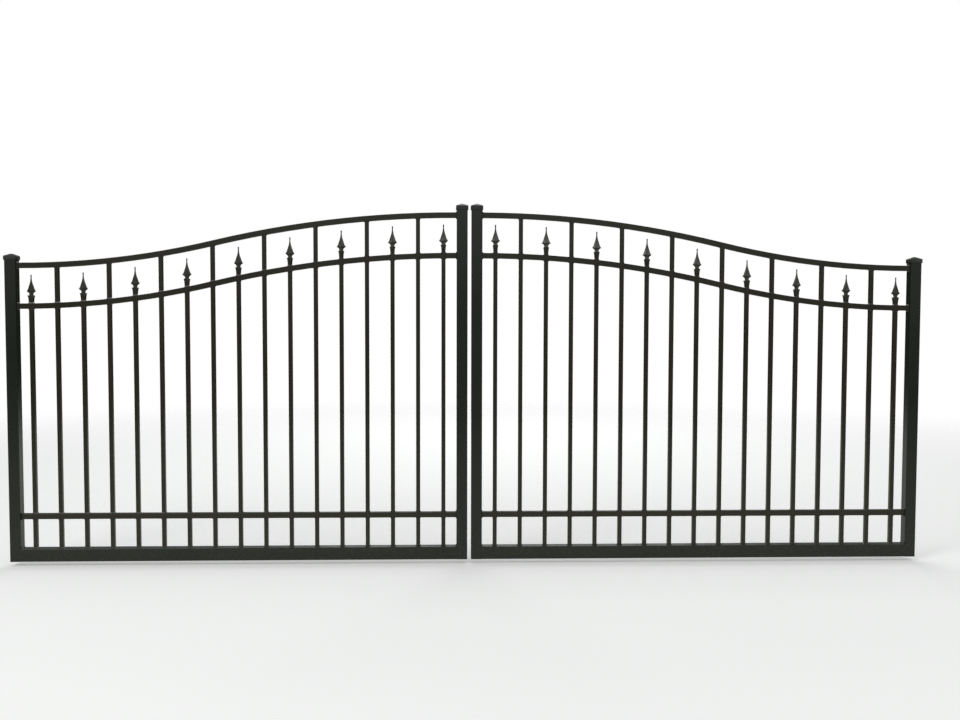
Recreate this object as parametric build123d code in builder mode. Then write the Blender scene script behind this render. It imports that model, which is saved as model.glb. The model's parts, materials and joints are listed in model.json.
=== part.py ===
"""Double-leaf garden gate in square steel tube.

Two mirror-image leaves hang from hinge brackets at their outer sides and meet in the middle.
Each leaf has two stiles, four rails and seventeen upright pickets.  The top rail and the rail
below it follow the same S curve, so the pair is low at the hinges and high at the middle.
Every second picket stops above the upper rail under a cast spear; the others reach the top rail.

The leaves turn on barrel hinges behind their outer stiles, so no hinge shows from the front.

Frame: X runs along the gate, Y through it (towards the back, where the leaves open), Z up.
The origin is midway between the leaves, at their underside, and in Y it is halfway between the
front of the caps and the rear edge of the hinge plates.  Pieces are modelled about the middle
plane of the leaves and moved by frame_shift as they are written.
The left leaf is modelled; the right leaf is its mirror image in the YZ plane.
"""
from build123d import *
import os
from math import atan, sin, sqrt

os.makedirs("parts", exist_ok=True)

# ---------------------------------------------------------------- driving dimensions (mm)
overall_width = 4267.0        # across both leaves, outer face to outer face of the hinge stiles
centre_gap = 18.0             # between the two meeting stiles
arch_rise = 240.0             # how much higher the curved rails are at the middle than at the hinge
bend_share = 0.445            # where the S curve turns over, as a share of the clear span

stile_size = 50.8             # stiles: square tube
stile_wall = 2.5
stile_corner = 3.0            # outside corner radius
rail_size = 25.4              # curved rails and lower rail: square tube
rail_wall = 2.0
rail_corner = 1.5
bottom_rail_height = 60.0     # bottom rail: as deep as the stiles, and taller than it is deep
picket_size = 19.05           # pickets: square tube
picket_wall = 1.5
picket_corner = 1.2
picket_count = 17             # on each leaf
first_picket = 61.5           # from a stile's inner face to the middle of the picket beside it

top_rail_height = 1375.0      # centre line of the top rail where it meets the hinge stile
rail_drop = 187.5             # from the top rail's centre line down to the upper rail's
lower_rail_height = 210.0     # centre line of the straight lower rail
stile_above_rail = 27.0       # stile tube above the top rail's upper face
spear_base_above_rail = 6.0   # short pickets above the upper rail's upper face

cap_wall = 3.0                # press-on stile caps
cap_depth = 15.0              # how far a cap reaches down over its stile
cap_crown = 11.0              # height of the cap's shallow pyramid
cap_flat = 8.0                # little flat on top of the pyramid

spear_plug_length = 20.0      # tenon of a spear inside its picket
spear_socket = 26.0           # height of the flaring socket
spear_socket_top = 23.0       # its width under the collar
spear_collar = 26.0           # width of the collar on top of the socket
spear_collar_height = 4.0
spear_neck_foot = 19.0        # diameter of the round neck where it leaves the collar
spear_neck = 17.5             # and at its narrowest place
spear_neck_rise = 8.0         # from the collar to the neck's narrowest place
spear_barb_rise = 11.0        # from there to the points of the barbs
spear_width = 43.0            # across the barbs
spear_thickness = 18.0        # through the middle ridge at the barbs
spear_blade = 47.0            # from the barbs up to the foot of the needle
blade_taper = (               # share of the blade's height, of its width and of its thickness
    (0.25, 0.70, 0.85),
    (0.50, 0.51, 0.70),
    (0.75, 0.33, 0.54),
)
spear_needle = 28.0           # length of the needle
spear_needle_width = 6.5
spear_tip_width = 4.0

post_gap = 12.0               # between a hinge stile and the face of its gate post
hinge_heights = (135.0, 1280.0)   # middle of each hinge above the underside
barrel_diameter = 18.0
knuckle_foot = 12.0           # width of a knuckle's flat side, from the far side of the barrel
pin_diameter = 10.0
bracket_thickness = 5.0
bracket_height = 100.0
bracket_width = 62.0          # backwards from the front of the barrel
bracket_hole = 9.0            # for M8 bolts
bracket_hole_spacing_y = 20.0
bracket_hole_spacing_z = 70.0
bracket_hole_edge = 12.0      # from the rear bolts to the plate's rear edge
bracket_corner = 5.0
fixed_knuckle = 30.0          # height of each bracket knuckle
leaf_knuckle = 35.8           # height of the knuckle on the stile
washer_thickness = 2.0
pin_head_diameter = 16.0
pin_head_height = 5.0
pin_tail = 8.0                # pin below the lower knuckle
clip_thickness = 1.2
clip_diameter = 15.0
clip_groove_depth = 1.0
clip_mouth = 7.0              # opening of the retaining clip

punch_clearance = 0.3         # around a picket in its punched hole
fit_up = 0.2                  # between a coped picket end and the rail above it
cap_clearance = 0.2           # between a stile and its cap, all round
plug_clearance = 0.2          # between a spear's plug and its picket, all round
barrel_clearance = 1.0        # between a barrel and the stile or bracket that it turns past
pin_clearance = 0.05          # radial, pin to knuckle
washer_clearance = 0.1        # above and below each thrust washer, and round the pin
clip_clearance = 0.1          # clip in its groove

# ---------------------------------------------------------------- derived places
hinge_face_x = -overall_width / 2
clear_start = hinge_face_x + stile_size
clear_end = -centre_gap / 2 - stile_size
clear_span = clear_end - clear_start
hinge_stile_x = hinge_face_x + stile_size / 2
meeting_stile_x = clear_end + stile_size / 2

bend_angle = 2 * atan(arch_rise / clear_span)
low_radius = clear_span * bend_share / sin(bend_angle)
high_radius = clear_span * (1 - bend_share) / sin(bend_angle)

picket_pitch = (clear_span - 2 * first_picket) / (picket_count - 1)
picket_x = [clear_start + first_picket + n * picket_pitch for n in range(picket_count)]
upper_rail_height = top_rail_height - rail_drop
punched_hole = picket_size + 2 * punch_clearance

hinge_stile_top = top_rail_height + rail_size / 2 + stile_above_rail
meeting_stile_top = hinge_stile_top + arch_rise

barrel_radius = barrel_diameter / 2
hinge_offset = barrel_radius + barrel_clearance
post_face_x = hinge_face_x - post_gap
plate_face_x = post_face_x + bracket_thickness
hinge_x = plate_face_x + hinge_offset
hinge_y = stile_size / 2 + hinge_offset
bracket_front_y = hinge_y - barrel_radius
bracket_rear_y = bracket_front_y + bracket_width
bracket_hole_y = bracket_rear_y - bracket_hole_edge - bracket_hole_spacing_y / 2
barrel_height = 2 * fixed_knuckle + leaf_knuckle + 2 * washer_thickness + 2 * washer_clearance

cap_front_y = -(stile_size / 2 + cap_clearance + cap_wall)
frame_shift = -(cap_front_y + bracket_rear_y) / 2


def curve_point(x, base, lift):
    """Height of an S-curved rail at x, on a line at the distance lift above its centre line."""
    low_r = low_radius - lift
    high_r = high_radius + lift
    turn_x = clear_start + low_r * sin(bend_angle)
    if x <= turn_x:
        return base + low_radius - sqrt(low_r**2 - (x - clear_start) ** 2)
    return base + arch_rise - high_radius + sqrt(high_r**2 - (clear_end - x) ** 2)


def s_path(base):
    """Centre line of an S-curved rail: two tangent arcs, level at both stiles."""
    turn_x = clear_start + low_radius * sin(bend_angle)
    turn = (turn_x, curve_point(turn_x, base, 0))
    with BuildLine(Plane.XZ) as path:
        low = TangentArc((clear_start, base), turn, tangent=(1, 0))
        TangentArc(turn, (clear_end, base + arch_rise), tangent=low % 1)
    return path.wire()


def rail_end_plane(base):
    """Upright plane at the hinge stile's inner face, centred on a rail."""
    return Plane(origin=(clear_start, 0, base), x_dir=(0, 1, 0), z_dir=(1, 0, 0))


def tube_section(size_x, size_y, wall, corner):
    """Closed section of a rectangular tube, in the sketch that is open."""
    RectangleRounded(size_x, size_y, corner)
    inner_corner = max(corner - wall, corner / 3)
    RectangleRounded(size_x - 2 * wall, size_y - 2 * wall, inner_corner, mode=Mode.SUBTRACT)


def write_pair(name, piece):
    """Write a piece of the left leaf, and its mirror image for the right leaf."""
    left = Pos(0, frame_shift, 0) * piece
    with BuildPart() as mirrored:
        mirror(left, about=Plane.YZ)
    for side, part in (("left", left), ("right", mirrored.part)):
        part.label = f"{side}_{name}"
        export_step(part, f"parts/{side}_{name}.step")


# ---------------------------------------------------------------- stiles
def make_stile(x, top):
    """Square tube from the underside of the leaf to under its cap."""
    with BuildPart() as stile:
        with BuildSketch(Plane.XY):
            with Locations((x, 0)):
                tube_section(stile_size, stile_size, stile_wall, stile_corner)
        extrude(amount=top)
    return stile.part


write_pair("hinge_stile", make_stile(hinge_stile_x, hinge_stile_top))
write_pair("meeting_stile", make_stile(meeting_stile_x, meeting_stile_top))


# ---------------------------------------------------------------- stile caps
def make_cap(x, stile_top):
    """Cast cap: a skirt that fits over the tube, and a shallow pyramid on top."""
    cavity = stile_size + 2 * cap_clearance
    outside = cavity + 2 * cap_wall
    skirt_bottom = stile_top - cap_depth
    crown_foot = stile_top + cap_wall
    with BuildPart() as cap:
        with BuildSketch(Plane.XY.offset(skirt_bottom)):
            with Locations((x, 0)):
                RectangleRounded(outside, outside, cap_wall)
        extrude(amount=crown_foot - skirt_bottom)
        with BuildSketch(Plane.XY.offset(crown_foot)):
            with Locations((x, 0)):
                RectangleRounded(outside, outside, cap_wall)
        with BuildSketch(Plane.XY.offset(crown_foot + cap_crown)):
            with Locations((x, 0)):
                RectangleRounded(cap_flat, cap_flat, cap_flat / 4)
        loft(ruled=True)
        with BuildSketch(Plane.XY.offset(skirt_bottom)):
            with Locations((x, 0)):
                RectangleRounded(cavity, cavity, stile_corner)
        extrude(amount=cap_depth, mode=Mode.SUBTRACT)
    return cap.part


with BuildPart() as stile_caps:
    add(make_cap(hinge_stile_x, hinge_stile_top))
    add(make_cap(meeting_stile_x, meeting_stile_top))
write_pair("stile_caps", stile_caps.part)


# ---------------------------------------------------------------- curved rails
def make_curved_rail(base, punched):
    """Square tube bent to the S curve; a punched one has a square hole for every picket."""
    with BuildPart() as rail:
        with BuildSketch(rail_end_plane(base)):
            tube_section(rail_size, rail_size, rail_wall, rail_corner)
        sweep(path=s_path(base))
        if punched:
            with Locations(*[(x, 0, curve_point(x, base, 0)) for x in picket_x]):
                Box(punched_hole, punched_hole, 2 * rail_size, mode=Mode.SUBTRACT)
    return rail.part


write_pair("top_rail", make_curved_rail(top_rail_height, punched=False))
write_pair("upper_rail", make_curved_rail(upper_rail_height, punched=True))

with BuildPart() as top_rail_space:
    with BuildSketch(rail_end_plane(top_rail_height)):
        Rectangle(rail_size + 2 * fit_up, rail_size + 2 * fit_up)
    sweep(path=s_path(top_rail_height))

# ---------------------------------------------------------------- lower rail
with BuildPart() as lower_rail:
    with BuildSketch(Plane.YZ.offset(clear_start)):
        with Locations((0, lower_rail_height)):
            tube_section(rail_size, rail_size, rail_wall, rail_corner)
    extrude(amount=clear_span)
    with Locations(*[(x, 0, lower_rail_height) for x in picket_x]):
        Box(punched_hole, punched_hole, 2 * rail_size, mode=Mode.SUBTRACT)
write_pair("lower_rail", lower_rail.part)

# ---------------------------------------------------------------- bottom rail
with BuildPart() as bottom_rail:
    with BuildSketch(Plane.YZ.offset(clear_start)):
        with Locations((0, bottom_rail_height / 2)):
            tube_section(stile_size, bottom_rail_height, stile_wall, stile_corner)
    extrude(amount=clear_span)
write_pair("bottom_rail", bottom_rail.part)


# ---------------------------------------------------------------- pickets
def is_short(number):
    """Pickets 1, 3, 5 ... end in a spear; the others reach the top rail."""
    return number % 2 == 1


def spear_seat(x):
    """Height of the cut end of a short picket, where its spear stands."""
    return curve_point(x, upper_rail_height, rail_size / 2) + spear_base_above_rail


def make_picket(number, x):
    """Square tube standing on the bottom rail, through the lower and the upper rail."""
    with BuildPart() as picket:
        with BuildSketch(Plane.XY.offset(bottom_rail_height)):
            with Locations((x, 0)):
                tube_section(picket_size, picket_size, picket_wall, picket_corner)
        if is_short(number):
            extrude(amount=spear_seat(x) - bottom_rail_height)
        else:
            extrude(amount=curve_point(x, top_rail_height, 0) - bottom_rail_height)
            add(top_rail_space.part, mode=Mode.SUBTRACT)
    return picket.part


for number, x in enumerate(picket_x, start=1):
    write_pair(f"picket_{number:02d}", make_picket(number, x))


# ---------------------------------------------------------------- spears
def diamond(width, thickness):
    """Four-pointed section with its ridges at the front, the back and both sides."""
    half_w = width / 2
    half_t = thickness / 2
    Polygon((half_w, 0), (0, half_t), (-half_w, 0), (0, -half_t), align=None)


def square_taper(x, foot, foot_width, top, top_width):
    """Four-sided taper, added to the part that is open."""
    ends = []
    for height, width in ((foot, foot_width), (top, top_width)):
        with BuildSketch(Plane.XY.offset(height)) as end:
            with Locations((x, 0)):
                Rectangle(width, width)
        ends.append(end.sketch.face())
    loft(sections=ends, ruled=True)


def make_spear(x, seat):
    """Cast spear: plug, flaring square socket, collar, neck, barbed blade and needle."""
    plug = picket_size - 2 * picket_wall - 2 * plug_clearance
    upwards = (Align.CENTER, Align.CENTER, Align.MIN)
    collar_foot = seat + spear_socket
    collar_top = collar_foot + spear_collar_height
    neck = collar_top + spear_neck_rise
    barbs = neck + spear_barb_rise
    needle_foot = barbs + spear_blade
    tip = needle_foot + spear_needle
    blade_sections = [(neck, spear_neck, spear_neck), (barbs, spear_width, spear_thickness)]
    for rise, width, thickness in blade_taper:
        blade_sections.append((barbs + rise * spear_blade, width * spear_width, thickness * spear_thickness))
    blade_sections.append((needle_foot, spear_needle_width, spear_needle_width))
    blade_sections.append((tip, spear_tip_width, spear_tip_width))
    with BuildPart() as spear:
        with Locations((x, 0, seat - spear_plug_length)):
            Box(plug, plug, spear_plug_length, align=upwards)
        square_taper(x, seat, picket_size, collar_foot, spear_socket_top)
        with Locations((x, 0, collar_foot)):
            Box(spear_collar, spear_collar, spear_collar_height, align=upwards)
        with Locations((x, 0, collar_top)):
            Cone(spear_neck_foot / 2, spear_neck / 2, spear_neck_rise, align=upwards)
        for height, width, thickness in blade_sections:
            with BuildSketch(Plane.XY.offset(height)):
                with Locations((x, 0)):
                    diamond(width, thickness)
        loft(ruled=True)
    return spear.part


with BuildPart() as spears:
    for number, x in enumerate(picket_x, start=1):
        if is_short(number):
            add(make_spear(x, spear_seat(x)))
write_pair("spears", spears.part)


# ---------------------------------------------------------------- hinges
def knuckle_eye(foot_x, foot_y, foot_width, foot_depth):
    """Eye for the pin, with a flat foot centred at foot_x, foot_y from the pin."""
    with Locations((hinge_x, hinge_y)):
        Circle(barrel_radius)
    with Locations((hinge_x + foot_x, hinge_y + foot_y)):
        Rectangle(foot_width, foot_depth)
    with Locations((hinge_x, hinge_y)):
        Circle(pin_diameter / 2 + pin_clearance, mode=Mode.SUBTRACT)


def make_bracket(middle):
    """Bolt-on plate with the lower and the upper knuckle of one hinge."""
    barrel_bottom = middle - barrel_height / 2
    barrel_top = middle + barrel_height / 2
    with BuildPart() as bracket:
        with BuildSketch(Plane.YZ.offset(plate_face_x)):
            with Locations(((bracket_front_y + bracket_rear_y) / 2, middle)):
                RectangleRounded(bracket_width, bracket_height, bracket_corner)
            with Locations((bracket_hole_y, middle)):
                with GridLocations(bracket_hole_spacing_y, bracket_hole_spacing_z, 2, 2):
                    Circle(bracket_hole / 2, mode=Mode.SUBTRACT)
        extrude(amount=-bracket_thickness)
        for foot in (barrel_bottom, barrel_top - fixed_knuckle):
            with BuildSketch(Plane.XY.offset(foot)):
                knuckle_eye(-hinge_offset / 2, barrel_radius - knuckle_foot / 2, hinge_offset, knuckle_foot)
            extrude(amount=fixed_knuckle)
    return bracket.part


def make_leaf_knuckle(middle):
    """Knuckle welded to the back of the hinge stile; it turns between the bracket knuckles."""
    with BuildPart() as knuckle:
        with BuildSketch(Plane.XY.offset(middle - leaf_knuckle / 2)):
            knuckle_eye(barrel_radius - knuckle_foot / 2, -hinge_offset / 2, knuckle_foot, hinge_offset)
        extrude(amount=leaf_knuckle)
    return knuckle.part


def make_washer(foot):
    """Brass thrust washer between two knuckles."""
    with BuildPart() as washer:
        with BuildSketch(Plane.XY.offset(foot)):
            with Locations((hinge_x, hinge_y)):
                Circle(barrel_radius)
                Circle(pin_diameter / 2 + washer_clearance, mode=Mode.SUBTRACT)
        extrude(amount=washer_thickness)
    return washer.part


def make_pin(middle):
    """Headed pin dropped in from above, with a groove for its retaining clip."""
    barrel_top = middle + barrel_height / 2
    barrel_bottom = middle - barrel_height / 2
    groove_radius = pin_diameter / 2 - clip_groove_depth
    with BuildPart() as pin:
        with BuildSketch(Plane.XY.offset(barrel_bottom - pin_tail)):
            with Locations((hinge_x, hinge_y)):
                Circle(pin_diameter / 2)
        extrude(amount=barrel_height + pin_tail)
        chamfer(pin.edges().group_by(Axis.Z)[0], length=clip_groove_depth)
        with BuildSketch(Plane.XY.offset(barrel_top)):
            with Locations((hinge_x, hinge_y)):
                Circle(pin_head_diameter / 2)
        extrude(amount=pin_head_height)
        chamfer(pin.edges().group_by(Axis.Z)[-1], length=clip_groove_depth)
        with BuildSketch(Plane.XY.offset(barrel_bottom)):
            with Locations((hinge_x, hinge_y)):
                Circle(pin_diameter / 2)
                Circle(groove_radius, mode=Mode.SUBTRACT)
        extrude(amount=-(clip_thickness + 2 * clip_clearance), mode=Mode.SUBTRACT)
    return pin.part


def make_clip(middle):
    """Spring clip in the pin's groove, open towards the back."""
    clip_top = middle - barrel_height / 2 - clip_clearance
    inner_radius = pin_diameter / 2 - clip_groove_depth + clip_clearance
    with BuildPart() as clip:
        with BuildSketch(Plane.XY.offset(clip_top)):
            with Locations((hinge_x, hinge_y)):
                Circle(clip_diameter / 2)
                Circle(inner_radius, mode=Mode.SUBTRACT)
            with Locations((hinge_x, hinge_y + clip_diameter / 2)):
                Rectangle(clip_mouth, clip_diameter, mode=Mode.SUBTRACT)
        extrude(amount=-clip_thickness)
    return clip.part


with BuildPart() as hinge_brackets:
    for middle in hinge_heights:
        add(make_bracket(middle))
write_pair("hinge_brackets", hinge_brackets.part)

with BuildPart() as hinge_knuckles:
    for middle in hinge_heights:
        add(make_leaf_knuckle(middle))
write_pair("hinge_knuckles", hinge_knuckles.part)

with BuildPart() as thrust_washers:
    for middle in hinge_heights:
        add(make_washer(middle - leaf_knuckle / 2 - washer_clearance - washer_thickness))
        add(make_washer(middle + leaf_knuckle / 2 + washer_clearance))
write_pair("thrust_washers", thrust_washers.part)

with BuildPart() as hinge_pins:
    for middle in hinge_heights:
        add(make_pin(middle))
write_pair("hinge_pins", hinge_pins.part)

with BuildPart() as pin_clips:
    for middle in hinge_heights:
        add(make_clip(middle))
write_pair("pin_clips", pin_clips.part)
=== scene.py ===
# %% [markdown]
# # A double garden gate in square steel tube
#
# The gate has two mirror-image leaves.  Stiles, rails and pickets are plain square tube, and their
# exact shapes arrive ready-made in the frame, so they only need a finish.  What is worth modelling
# here is what a fabricator adds by hand: cast spears, cast caps, weld beads, and the small turned
# parts of the hinges.  The frame is loaded first, because every new piece takes its size and its
# place from it.

# %% Load the frame
import bmesh
import bpy
import json
from math import atan2, pi, radians, sqrt
from mathutils import Matrix, Vector


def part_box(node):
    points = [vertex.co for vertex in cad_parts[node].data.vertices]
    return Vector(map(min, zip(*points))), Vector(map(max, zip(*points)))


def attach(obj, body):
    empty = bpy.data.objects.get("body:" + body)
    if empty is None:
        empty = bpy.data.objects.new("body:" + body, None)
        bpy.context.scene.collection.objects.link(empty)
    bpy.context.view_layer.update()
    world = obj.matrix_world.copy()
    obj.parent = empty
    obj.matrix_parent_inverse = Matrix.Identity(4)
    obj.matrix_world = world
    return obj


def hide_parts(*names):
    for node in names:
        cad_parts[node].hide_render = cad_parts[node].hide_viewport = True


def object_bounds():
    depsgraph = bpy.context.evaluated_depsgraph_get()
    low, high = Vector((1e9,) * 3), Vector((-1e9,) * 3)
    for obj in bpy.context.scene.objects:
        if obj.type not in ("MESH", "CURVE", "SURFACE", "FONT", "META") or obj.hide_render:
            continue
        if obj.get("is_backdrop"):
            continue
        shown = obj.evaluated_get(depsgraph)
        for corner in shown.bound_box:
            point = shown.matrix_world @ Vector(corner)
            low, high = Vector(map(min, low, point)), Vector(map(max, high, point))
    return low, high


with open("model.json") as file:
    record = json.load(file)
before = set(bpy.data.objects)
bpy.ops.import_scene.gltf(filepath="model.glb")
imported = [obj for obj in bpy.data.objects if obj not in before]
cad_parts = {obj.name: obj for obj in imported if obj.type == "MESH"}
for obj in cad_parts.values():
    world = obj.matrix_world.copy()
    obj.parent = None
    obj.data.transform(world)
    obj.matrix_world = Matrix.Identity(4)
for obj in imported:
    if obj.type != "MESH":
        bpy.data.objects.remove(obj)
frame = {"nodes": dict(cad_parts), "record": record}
nodes = frame["nodes"]
cad_low, cad_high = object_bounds()
SIDES = ("left", "right")
MM = 0.001

print("CAD nodes:", len(nodes), "box:", [round(v, 4) for v in cad_high - cad_low])

# %% [markdown]
# ## Where things are
#
# A node's box gives its place.  Where a picket passes a curved rail, a ray sent straight down (or
# up) onto the rail finds both the height and the lean of its face there, so a weld can lie on it.
# The rays pass just behind the picket, where the rail's wall is whole.

# %% Places taken from the frame
PICKETS = [f"picket_{number:02d}" for number in range(1, 18)]
SHORT_PICKETS = PICKETS[0::2]
TALL_PICKETS = PICKETS[1::2]
RAILS = ("top_rail", "upper_rail", "lower_rail")


def middle(node):
    low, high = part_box(node)
    return (low + high) / 2


def size(node):
    low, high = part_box(node)
    return high - low


RAY_START = 3.0           # well above or below the gate


def rail_face(rail, x, from_above):
    """A point in the middle of a rail's upper or lower face, and the way that face points."""
    way = -1 if from_above else 1
    start = Vector((x, middle(rail).y + ray_offset, -way * RAY_START))
    found, point, normal, _ = nodes[rail].ray_cast(start, Vector((0, 0, way)))
    if not found:
        raise ValueError(f"no {rail} at x = {x}")
    return Vector((point.x, middle(rail).y, point.z)), normal


bpy.context.view_layer.update()
picket_width = size("left_picket_01").x
rail_depth = size("left_lower_rail").y
stile_width = size("left_hinge_stile").x
ray_offset = (picket_width + rail_depth) / 4
leaf_y = middle("left_hinge_stile").y
print("picket", round(picket_width / MM, 2), "mm, rail", round(rail_depth / MM, 2), "mm")
print("the leaves stand at y =", round(leaf_y, 4))

# %% [markdown]
# ## The camera and the light
#
# The gate is seen from the front, standing a little to the left of the middle and looking slightly
# down, from about five metres.  Black paint shows mostly what it mirrors, so the surroundings
# matter more than the lamps.  A bright low sky, a duller one overhead, a floor in front, and a dim
# band between them at the horizon give the tubes their change of tone from top to bottom.

# %% Camera
CAMERA_PLACE = (-0.122, -5.006, 1.199)
CAMERA_DOWN = radians(2.982)
CAMERA_TO_RIGHT = radians(1.975)
CAMERA_ROLL = radians(-0.126)
FOCAL_LENGTH = 39.82

bpy.ops.object.camera_add(
    location=CAMERA_PLACE,
    rotation=(pi / 2 - CAMERA_DOWN, CAMERA_ROLL, -CAMERA_TO_RIGHT),
)
camera = bpy.context.object
camera.name = "camera"
camera.data.sensor_width = 36.0
camera.data.lens = FOCAL_LENGTH
bpy.context.scene.camera = camera
bpy.context.scene.view_settings.view_transform = "Standard"
print("camera at", CAMERA_PLACE, "with a", FOCAL_LENGTH, "mm lens")

# %% Surroundings
BACKDROP = (1.0, 1.0, 1.0)    # what the camera sees behind the gate
FRONT_SKY = (                 # height, from -1 at the bottom to 1 overhead, and the colour there
    (-1.00, (0.020, 0.022, 0.018)),
    (-0.01, (0.025, 0.027, 0.022)),
    (0.05, (0.420, 0.440, 0.400)),
    (0.12, (0.900, 0.940, 0.900)),
    (0.28, (0.740, 0.770, 0.750)),
    (0.55, (0.380, 0.390, 0.390)),
)
BACK_SKY = (                  # the horizon behind the gate stays dim higher up, as in a garden
    (-1.00, (0.020, 0.022, 0.018)),
    (0.00, (0.020, 0.022, 0.018)),
    (0.16, (0.060, 0.065, 0.060)),
    (0.34, (0.360, 0.375, 0.365)),
    (0.55, (0.380, 0.390, 0.390)),
)


def sky_ramp(tree, height, stops):
    """A colour ramp over the height in the sky."""
    ramp = tree.nodes.new("ShaderNodeValToRGB")
    for index, (place, colour) in enumerate(stops):
        if index < 2:
            stop = ramp.color_ramp.elements[index]
        else:
            stop = ramp.color_ramp.elements.new(1.0)
        stop.position = (place + 1) / 2
        stop.color = (*colour, 1)
    tree.links.new(height, ramp.inputs["Fac"])
    return ramp.outputs["Color"]


BACK_STARTS = -0.1            # how far back, from -1 in front to 1 behind, the back sky begins
BACK_WHOLE = 0.5

world = bpy.data.worlds.new("studio")
bpy.context.scene.world = world
world.use_nodes = True
sky = world.node_tree
sky.nodes.clear()
direction = sky.nodes.new("ShaderNodeTexCoord")
split = sky.nodes.new("ShaderNodeSeparateXYZ")
height = sky.nodes.new("ShaderNodeMapRange")
height.inputs["From Min"].default_value = -1.0
backwards = sky.nodes.new("ShaderNodeMapRange")
backwards.interpolation_type = "SMOOTHSTEP"
backwards.inputs["From Min"].default_value = BACK_STARTS
backwards.inputs["From Max"].default_value = BACK_WHOLE
both = sky.nodes.new("ShaderNodeMix")
both.data_type = "RGBA"
lit = sky.nodes.new("ShaderNodeBackground")
seen = sky.nodes.new("ShaderNodeBackground")
seen.inputs["Color"].default_value = (*BACKDROP, 1)
rays = sky.nodes.new("ShaderNodeLightPath")
choose = sky.nodes.new("ShaderNodeMixShader")
sky_out = sky.nodes.new("ShaderNodeOutputWorld")
sky.links.new(direction.outputs["Generated"], split.inputs[0])
sky.links.new(split.outputs["Z"], height.inputs["Value"])
sky.links.new(split.outputs["Y"], backwards.inputs["Value"])
sky.links.new(backwards.outputs[0], both.inputs["Factor"])
sky.links.new(sky_ramp(sky, height.outputs[0], FRONT_SKY), both.inputs["A"])
sky.links.new(sky_ramp(sky, height.outputs[0], BACK_SKY), both.inputs["B"])
sky.links.new(both.outputs["Result"], lit.inputs["Color"])
sky.links.new(rays.outputs["Is Camera Ray"], choose.inputs[0])
sky.links.new(lit.outputs[0], choose.inputs[1])
sky.links.new(seen.outputs[0], choose.inputs[2])
sky.links.new(choose.outputs[0], sky_out.inputs[0])
print("sky stops: front", len(FRONT_SKY), "back", len(BACK_SKY))


# %% Softboxes
def add_softbox(name, place, width, power):
    """A square area lamp aimed at the middle of the gate."""
    bpy.ops.object.light_add(type="AREA", location=place)
    lamp = bpy.context.object
    lamp.name = name
    lamp.data.size = width
    lamp.data.energy = power
    aim = (cad_low + cad_high) / 2 - lamp.location
    lamp.rotation_euler = aim.to_track_quat("-Z", "Y").to_euler()
    print(name, "power:", power, "W, from the gate's middle:", round(aim.length, 2), "m")


add_softbox("key_softbox", (-4.5, -5.0, 5.5), width=3.0, power=165)
add_softbox("fill_softbox", (5.5, -3.5, 4.0), width=3.0, power=60)
add_softbox("back_softbox", (0.5, 6.0, 5.0), width=5.0, power=160)

# %% Floor
GROUND_CLEARANCE = 0.02       # a gate hangs a little above the ground
FLOOR_RADIUS = 9.0
FLOOR_SOLID = 0.45            # share of the radius up to which the floor is whole
FLOOR_CLEAR = 0.98            # and from which nothing of it is left
PALE = (0.98, 0.98, 0.97)     # what the camera sees
DULL = (0.52, 0.53, 0.44)     # what the paint mirrors: a pale floor would wash out its lower half
FLOOR_GLOW = 0.17             # lifts the shaded floor towards the white behind it

bpy.ops.object.select_all(action="DESELECT")
bpy.ops.mesh.primitive_circle_add(
    vertices=96,
    radius=FLOOR_RADIUS,
    fill_type="NGON",
    location=(0, 0, cad_low.z - GROUND_CLEARANCE),
)
floor = bpy.context.object
floor.name = "floor"
floor_paint = bpy.data.materials.new("floor_paint")
floor_paint.use_nodes = True
tree = floor_paint.node_tree
tree.nodes.clear()
place = tree.nodes.new("ShaderNodeTexCoord")
reach = tree.nodes.new("ShaderNodeVectorMath")
reach.operation = "LENGTH"
fade = tree.nodes.new("ShaderNodeMapRange")
fade.interpolation_type = "SMOOTHSTEP"
fade.inputs["From Min"].default_value = FLOOR_RADIUS * FLOOR_SOLID
fade.inputs["From Max"].default_value = FLOOR_RADIUS * FLOOR_CLEAR
rays = tree.nodes.new("ShaderNodeLightPath")
tone = tree.nodes.new("ShaderNodeMix")
tone.data_type = "RGBA"
tone.inputs["A"].default_value = (*DULL, 1)
tone.inputs["B"].default_value = (*PALE, 1)
matt = tree.nodes.new("ShaderNodeBsdfDiffuse")
glow = tree.nodes.new("ShaderNodeEmission")
glow.inputs["Strength"].default_value = FLOOR_GLOW
lifted = tree.nodes.new("ShaderNodeAddShader")
clear = tree.nodes.new("ShaderNodeBsdfTransparent")
blend = tree.nodes.new("ShaderNodeMixShader")
out = tree.nodes.new("ShaderNodeOutputMaterial")
tree.links.new(place.outputs["Object"], reach.inputs[0])
tree.links.new(reach.outputs["Value"], fade.inputs["Value"])
tree.links.new(fade.outputs[0], blend.inputs[0])
tree.links.new(rays.outputs["Is Camera Ray"], tone.inputs["Factor"])
tree.links.new(tone.outputs["Result"], matt.inputs["Color"])
tree.links.new(matt.outputs[0], lifted.inputs[0])
tree.links.new(glow.outputs[0], lifted.inputs[1])
tree.links.new(lifted.outputs[0], blend.inputs[1])
tree.links.new(clear.outputs[0], blend.inputs[2])
tree.links.new(blend.outputs[0], out.inputs["Surface"])
floor.data.materials.append(floor_paint)
floor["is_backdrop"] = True
print("floor at z =", round(floor.location.z, 3), "m, radius", FLOOR_RADIUS, "m")

# %% [markdown]
# ## Finishes
#
# Powder coat is a thick, slightly soft-looking paint: satin, with a fine orange peel, dustier on
# faces that look up, splashed with ground dust near the bottom, and thinner along sharp edges.
# It could be painted on images, but every tube would then need its own unwrapping.  Noise on object
# coordinates runs over all of them at one scale with none.  Several finishes share these effects,
# so each effect is a node group with its own settings, and each material mixes what it needs.
# The shader itself stays in the material.


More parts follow.
